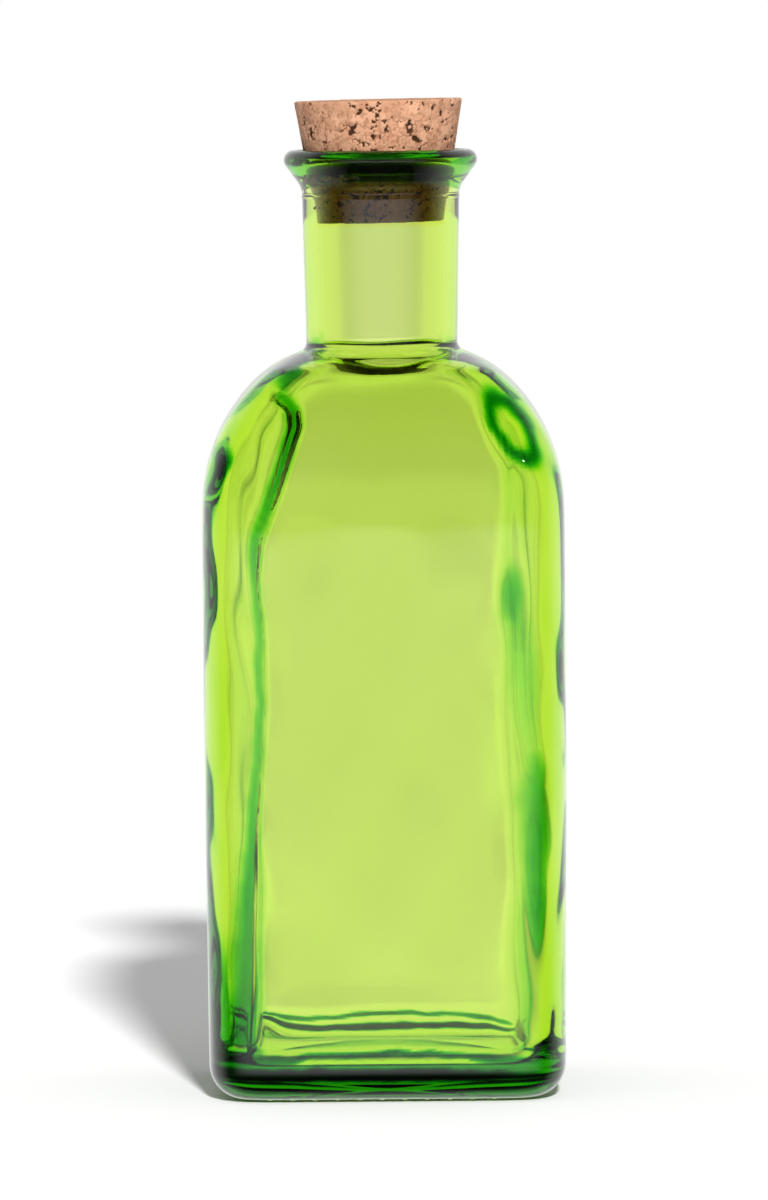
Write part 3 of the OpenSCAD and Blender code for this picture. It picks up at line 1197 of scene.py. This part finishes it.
@dataclass
class Studio:
    """A pale floor, an even pale surround, soft lamps and the camera."""

    target: Vector
    distance: float = 2.0
    elevation: float = math.radians(3.5)
    roll: float = math.radians(-0.475)
    view_height: float = 240 * MM
    sensor: float = 36.0
    floor_r: float = 0.8
    floor_sides: int = 96
    ambient: float = 0.45
    wall: float = 1.0
    wall_middle: float = 0.77
    room: float = 0.04
    roof: float = 0.15
    depth_edge: tuple = (-0.25, 0.5)
    middle_edge: tuple = (0.988, 0.998)
    roof_edge: tuple = (0.62, 0.92)
    patch_tint: tuple = (1.3, 1.2, 1.4, 1.0)
    patch_side: tuple = (-0.98, -0.35)
    patch_foot: tuple = (-0.4, -0.1)
    patch_step: tuple = (-0.055, -0.025)
    patch_over: float = 0.15
    patch_top: tuple = (0.2, 0.9)
    sun_azimuth: float = math.radians(7.5)
    sun_height: float = math.radians(28.5)
    sun_size: float = math.radians(4.5)
    sun_power: float = 4.6

    def build(self, mottle: bpy.types.NodeTree) -> None:
        """Makes the floor, the surround, the lamps and the camera.

        Args:
            mottle: The shared noise group.
        """
        self.floor(mottle)
        self.surround()
        self.sun()
        self.glint("upper_glint", azimuth=38, elevation=30, size=0.03, power=0.6)
        self.camera()
        self.rendering()

    def floor(self, mottle: bpy.types.NodeTree) -> None:
        """Lays the floor, a round sheet of paper under the bottle.

        Args:
            mottle: The shared noise group.
        """
        mesh = bpy.data.meshes.new("floor")
        angle = np.linspace(0.0, FULL_TURN, self.floor_sides, endpoint=False)
        edge = self.floor_r * np.column_stack((np.cos(angle), np.sin(angle), np.zeros_like(angle)))
        mesh.from_pydata(edge.tolist(), [], [tuple(range(self.floor_sides))])
        floor = bpy.data.objects.new("floor", mesh)
        bpy.context.scene.collection.objects.link(floor)
        mesh.materials.append(FloorFinish().material(mottle))

    def surround(self) -> None:
        """Sets the surround: white to the camera, even for dull surfaces, a lit wall for the glass.

        The wall's share rises with the direction's depth (from dark in front to white behind), is
        a little less straight behind, and falls off towards the zenith. A wide soft patch in front
        stands for the lamp's diffuser. Each edge of the two is a pair of values of Y or Z.
        """
        world = bpy.data.worlds.new("surround")
        bpy.context.scene.world = world
        world.use_nodes = True
        nodes = Nodes(world.node_tree)
        way = nodes.add("ShaderNodeTexCoord").outputs["Generated"]
        part = nodes.add("ShaderNodeSeparateXYZ", {"Vector": way}).outputs
        behind = nodes.spread(part["Y"], *self.depth_edge, self.room, self.wall)
        roof = nodes.spread(part["Z"], *self.roof_edge, 1.0, self.roof)
        middle = nodes.spread(part["Y"], *self.middle_edge, 1.0, self.wall_middle)
        wall = nodes.product(behind, roof, middle)
        ahead = nodes.spread(part["Y"], *self.patch_side, 1.0, 0.0)
        lower = nodes.spread(part["Z"], *self.patch_foot)
        upper = nodes.spread(part["Z"], *self.patch_step, 1.0, self.patch_over)
        zenith = nodes.spread(part["Z"], *self.patch_top, 1.0, 0.0)
        path = nodes.add("ShaderNodeLightPath").outputs
        dull = nodes.mix(path["Is Diffuse Ray"], wall, self.ambient)
        strength = nodes.mix(path["Is Camera Ray"], dull, 1.0)
        even = nodes.add("ShaderNodeBackground", {"Color": (1.0, 1.0, 1.0, 1.0), "Strength": strength})
        mirrored = nodes.product(ahead, lower, upper, zenith, path["Is Glossy Ray"])
        front = nodes.add("ShaderNodeBackground", {"Color": self.patch_tint, "Strength": mirrored})
        background = nodes.add("ShaderNodeAddShader", {0: even.outputs[0], 1: front.outputs[0]})
        nodes.add("ShaderNodeOutputWorld", {"Surface": background.outputs[0]})

    def aimed(self, name: str, data: bpy.types.Light, azimuth: float, height: float, far: float) -> Object:
        """Puts a lamp in the scene, aimed at the bottle.

        Args:
            name: The lamp's name.
            data: Its light.
            azimuth: Angle to the right of the camera's side, in radians.
            height: Angle above the bottle, in radians.
            far: Metres from the bottle.

        Returns:
            The lamp.
        """
        lamp = bpy.data.objects.new(name, data)
        level = math.cos(height)
        way = Vector((math.sin(azimuth) * level, -math.cos(azimuth) * level, math.sin(height)))
        lamp.location = self.target + way * far
        lamp.rotation_euler = way.to_track_quat("Z", "Y").to_euler()
        bpy.context.scene.collection.objects.link(lamp)
        return lamp

    def sun(self) -> None:
        """Hangs the key light, which casts the soft-edged shadow behind the bottle."""
        data = bpy.data.lights.new("key", "SUN")
        data.angle = self.sun_size
        data.energy = self.sun_power
        lamp = self.aimed("key", data, self.sun_azimuth, self.sun_height, 2.0)
        lamp.visible_glossy = False
        lamp.visible_transmission = False
        data.cycles.is_caustics_light = True

    def glint(self, name: str, azimuth: float, elevation: float, size: float, power: float) -> None:
        """Hangs a small round lamp that only the glass mirrors.

        Args:
            name: The lamp's name.
            azimuth: Degrees to the right of the camera's side.
            elevation: Degrees above the bottle.
            size: Diameter, in metres.
            power: Watts.
        """
        data = bpy.data.lights.new(name, "AREA")
        data.shape = "DISK"
        data.size = size
        data.energy = power
        lamp = self.aimed(name, data, math.radians(azimuth), math.radians(elevation), 1.5)
        lamp.visible_diffuse = False
        lamp.visible_transmission = False

    def camera(self) -> None:
        """Sets the camera in front of the bottle, a little above its middle."""
        data = bpy.data.cameras.new("camera")
        data.sensor_width = self.sensor
        data.lens = self.sensor * self.distance / self.view_height
        data.clip_start = 0.05
        data.clip_end = 60.0
        camera = bpy.data.objects.new("camera", data)
        direction = Vector((0.0, -math.cos(self.elevation), math.sin(self.elevation)))
        camera.location = self.target + direction * self.distance
        turn = direction.to_track_quat("Z", "Y")
        camera.rotation_euler = turn.to_euler()
        camera.rotation_euler.rotate_axis("Z", self.roll)
        bpy.context.scene.collection.objects.link(camera)
        bpy.context.scene.camera = camera

    def rendering(self) -> None:
        """Lets light pass the many faces of the glass, and shows colours as they are."""
        scene = bpy.context.scene
        scene.view_settings.view_transform = "Standard"
        scene.cycles.max_bounces = 32
        scene.cycles.transmission_bounces = 32
        scene.cycles.glossy_bounces = 16
        scene.cycles.transparent_max_bounces = 16
        scene.cycles.use_denoising = True


# ---------------------------------------------------------------- marks in the glass and painted shade, in millimetres


LEFT_CORD = CordOrShadeStreak((
    (6.0, -28.4, 1.5, 1.6),
    (22.0, -27.2, 1.7, 1.9),
    (38.0, -26.8, 1.4, 1.7),
    (52.0, -26.0, 0.8, 1.2),
    (66.0, -24.9, 0.55, 0.8),
    (80.0, -24.0, 0.5, 0.75),
    (92.0, -24.1, 0.5, 0.75),
    (102.0, -25.3, 0.6, 0.85),
    (111.0, -25.0, 0.9, 1.3),
    (120.0, -21.6, 1.0, 1.5),
    (127.0, -19.4, 1.1, 1.7),
    (133.0, -17.3, 1.1, 1.7),
    (136.0, -17.6, 1.0, 1.6),
    (139.0, -21.8, 0.8, 0.4),
))
RIGHT_CORD = CordOrShadeStreak((
    (8.0, 30.5, 3.4, 0.9),
    (24.0, 29.3, 3.2, 1.2),
    (36.0, 28.4, 2.4, 1.2),
    (45.0, 27.6, 1.8, 1.0),
    (53.0, 28.0, 2.6, 1.5),
    (62.0, 28.6, 3.2, 1.6),
    (68.0, 27.4, 1.8, 1.2),
    (78.0, 25.8, 1.4, 0.8),
    (92.0, 25.4, 1.2, 0.7),
    (104.0, 25.0, 0.8, 0.1),
))
DROPS = (
    DimpleOrShadeBlot(out=25.0, level=132.0, half_wide=3.6, half_high=7.6, thick=0.9, lean=math.radians(33)),
    DimpleOrShadeBlot(out=25.4, level=98.0, half_wide=2.6, half_high=6.0, thick=0.9, steep=2.0),
    DimpleOrShadeBlot(out=-31.6, level=124.5, half_wide=1.5, half_high=4.5, thick=0.5, lean=math.radians(-12)),
)
# painted shade: a streak of darker green along the left corner ridge, where refraction darkens the view
LEFT_SHADE_STREAK = CordOrShadeStreak((
    (6.0, -28.4, 2.2, 2.0),
    (22.0, -27.6, 2.2, 2.0),
    (38.0, -27.0, 1.8, 1.7),
    (52.0, -26.2, 1.2, 1.3),
    (66.0, -25.1, 0.9, 1.0),
    (80.0, -24.3, 0.8, 0.9),
    (92.0, -24.3, 0.8, 0.8),
    (104.0, -25.3, 0.9, 0.9),
    (111.0, -25.1, 1.1, 1.2),
    (120.0, -21.9, 1.2, 1.5),
    (127.0, -19.5, 1.3, 1.8),
    (133.0, -17.5, 1.3, 1.8),
    (136.0, -17.9, 1.3, 1.8),
    (139.5, -21.8, 1.8, 2.0),
))
# painted shade: a streak of darker green along the right corner, where refraction darkens the view
RIGHT_SHADE_STREAK = CordOrShadeStreak((
    (8.0, 30.0, 3.4, 0.5),
    (25.0, 30.4, 3.0, 1.0),
    (35.0, 29.4, 2.4, 1.3),
    (46.0, 28.8, 1.7, 1.3),
    (54.0, 29.6, 2.4, 1.3),
    (60.0, 30.0, 3.0, 1.3),
    (66.0, 29.4, 1.8, 0.7),
    (70.0, 28.0, 1.8, 0.2),
    (80.0, 27.4, 2.6, 0.35),
    (90.0, 26.4, 2.4, 0.45),
    (97.0, 25.4, 2.2, 0.6),
    (104.0, 25.0, 2.0, 0.1),
))
# painted shade on the inner skin: the two streaks and a blot on the lower drop
INNER_SHADE_MARKS = (
    LEFT_SHADE_STREAK,
    RIGHT_SHADE_STREAK,
    DimpleOrShadeBlot(out=25.0, level=100.5, half_wide=2.1, half_high=4.8, thick=0.8),
)
# painted shade on the outer skin: the drop's dark outline, a dark blot at the left, the floor's shadow seen
# through the lower left corner, the dark edges of the shoulder by the neck, and the dark bands of the base
OUTER_SHADE_MARKS = (
    DimpleOrShadeBlot(out=25.4, level=133.0, half_wide=2.6, half_high=7.0, thick=3.0, lean=math.radians(33), rim=0.25),
    DimpleOrShadeBlot(out=-31.0, level=126.0, half_wide=0.9, half_high=2.8, thick=3.0, lean=math.radians(-14)),
    DimpleOrShadeBlot(out=-35.2, level=14.0, half_wide=2.2, half_high=15.0, thick=1.6, front=20.0),
    DimpleOrShadeBlot(out=-30.0, level=9.4, half_wide=4.5, half_high=1.6, thick=2.0, front=20.0),
    DimpleOrShadeBlot(out=-18.2, level=146.8, half_wide=5.6, half_high=1.5, thick=3.0, lean=math.radians(30)),
    DimpleOrShadeBlot(out=17.6, level=147.6, half_wide=4.8, half_high=0.9, thick=2.2, lean=math.radians(-28)),
    ShadeBand((
        (-36.0, 6.1, 1.4, 6.0),
        (-20.0, 5.9, 1.1, 7.0),
        (12.0, 5.8, 1.1, 7.0),
        (20.0, 5.5, 1.0, 6.0),
        (27.0, 5.1, 0.8, 4.0),
        (36.0, 4.6, 0.9, 3.0),
    )),
    ShadeBand((
        (-30.0, 9.3, 0.7, 2.0),
        (-20.0, 8.8, 0.8, 3.0),
        (-14.8, 9.6, 0.5, 2.5),
        (0.0, 10.0, 0.55, 3.5),
        (15.0, 9.7, 0.5, 2.0),
        (20.0, 8.8, 0.8, 3.0),
        (27.0, 8.3, 0.6, 1.5),
        (31.0, 8.0, 0.4, 0.0),
    )),
)


def main() -> None:
    """Builds the bottle, the cork and the studio in order, and reports each piece."""
    logging.basicConfig(level=logging.INFO, format="%(name)s: %(message)s")
    mottle = mottle_group()
    _, glass_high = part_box("glass_bottle")
    cork_low, cork_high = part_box("cork_stopper")
    cork_l = cork_high.z - cork_low.z
    cork_top_r, cork_foot_r, cork_gap = 16.75 * MM, 12.8 * MM, 0.08 * MM
    bottle = GlassBottle(
        half_w=glass_high.x,
        height=glass_high.z,
        cork_foot_z=cork_low.z,
        mouth_foot_r=cork_foot_r + cork_gap,
        mouth_slope=(cork_top_r - cork_foot_r) / cork_l,
        relief=(LEFT_CORD, RIGHT_CORD, *DROPS),
        inner_shade_marks=INNER_SHADE_MARKS,
        outer_shade_marks=OUTER_SHADE_MARKS,
    )
    cork = CorkStopper(top_r=cork_top_r, foot_r=cork_foot_r, foot_z=cork_low.z, top_z=cork_high.z)
    glass = GlassFinish().material(mottle)
    glass_piece = bottle.build(glass)
    log.info("%s has %d faces", glass_piece.name, len(glass_piece.data.polygons))
    dots = BaseDots(stand=bottle.stand).build(glass)
    log.info("%s has %d faces", dots.name, len(dots.data.polygons))
    cork_piece = cork.build(CorkFinish().material(mottle))
    log.info("%s has %d faces", cork_piece.name, len(cork_piece.data.polygons))
    glass_piece.cycles.is_caustics_caster = True
    cork_piece.cycles.is_caustics_receiver = True
    middle_z = (CAD_BOX[0][2] + CAD_BOX[1][2]) / 2
    aim_drop = 1.4 * MM
    Studio(target=Vector((0.0, 0.0, middle_z - aim_drop))).build(mottle)
    log.info("studio is set")


if __name__ == "__main__":
    main()
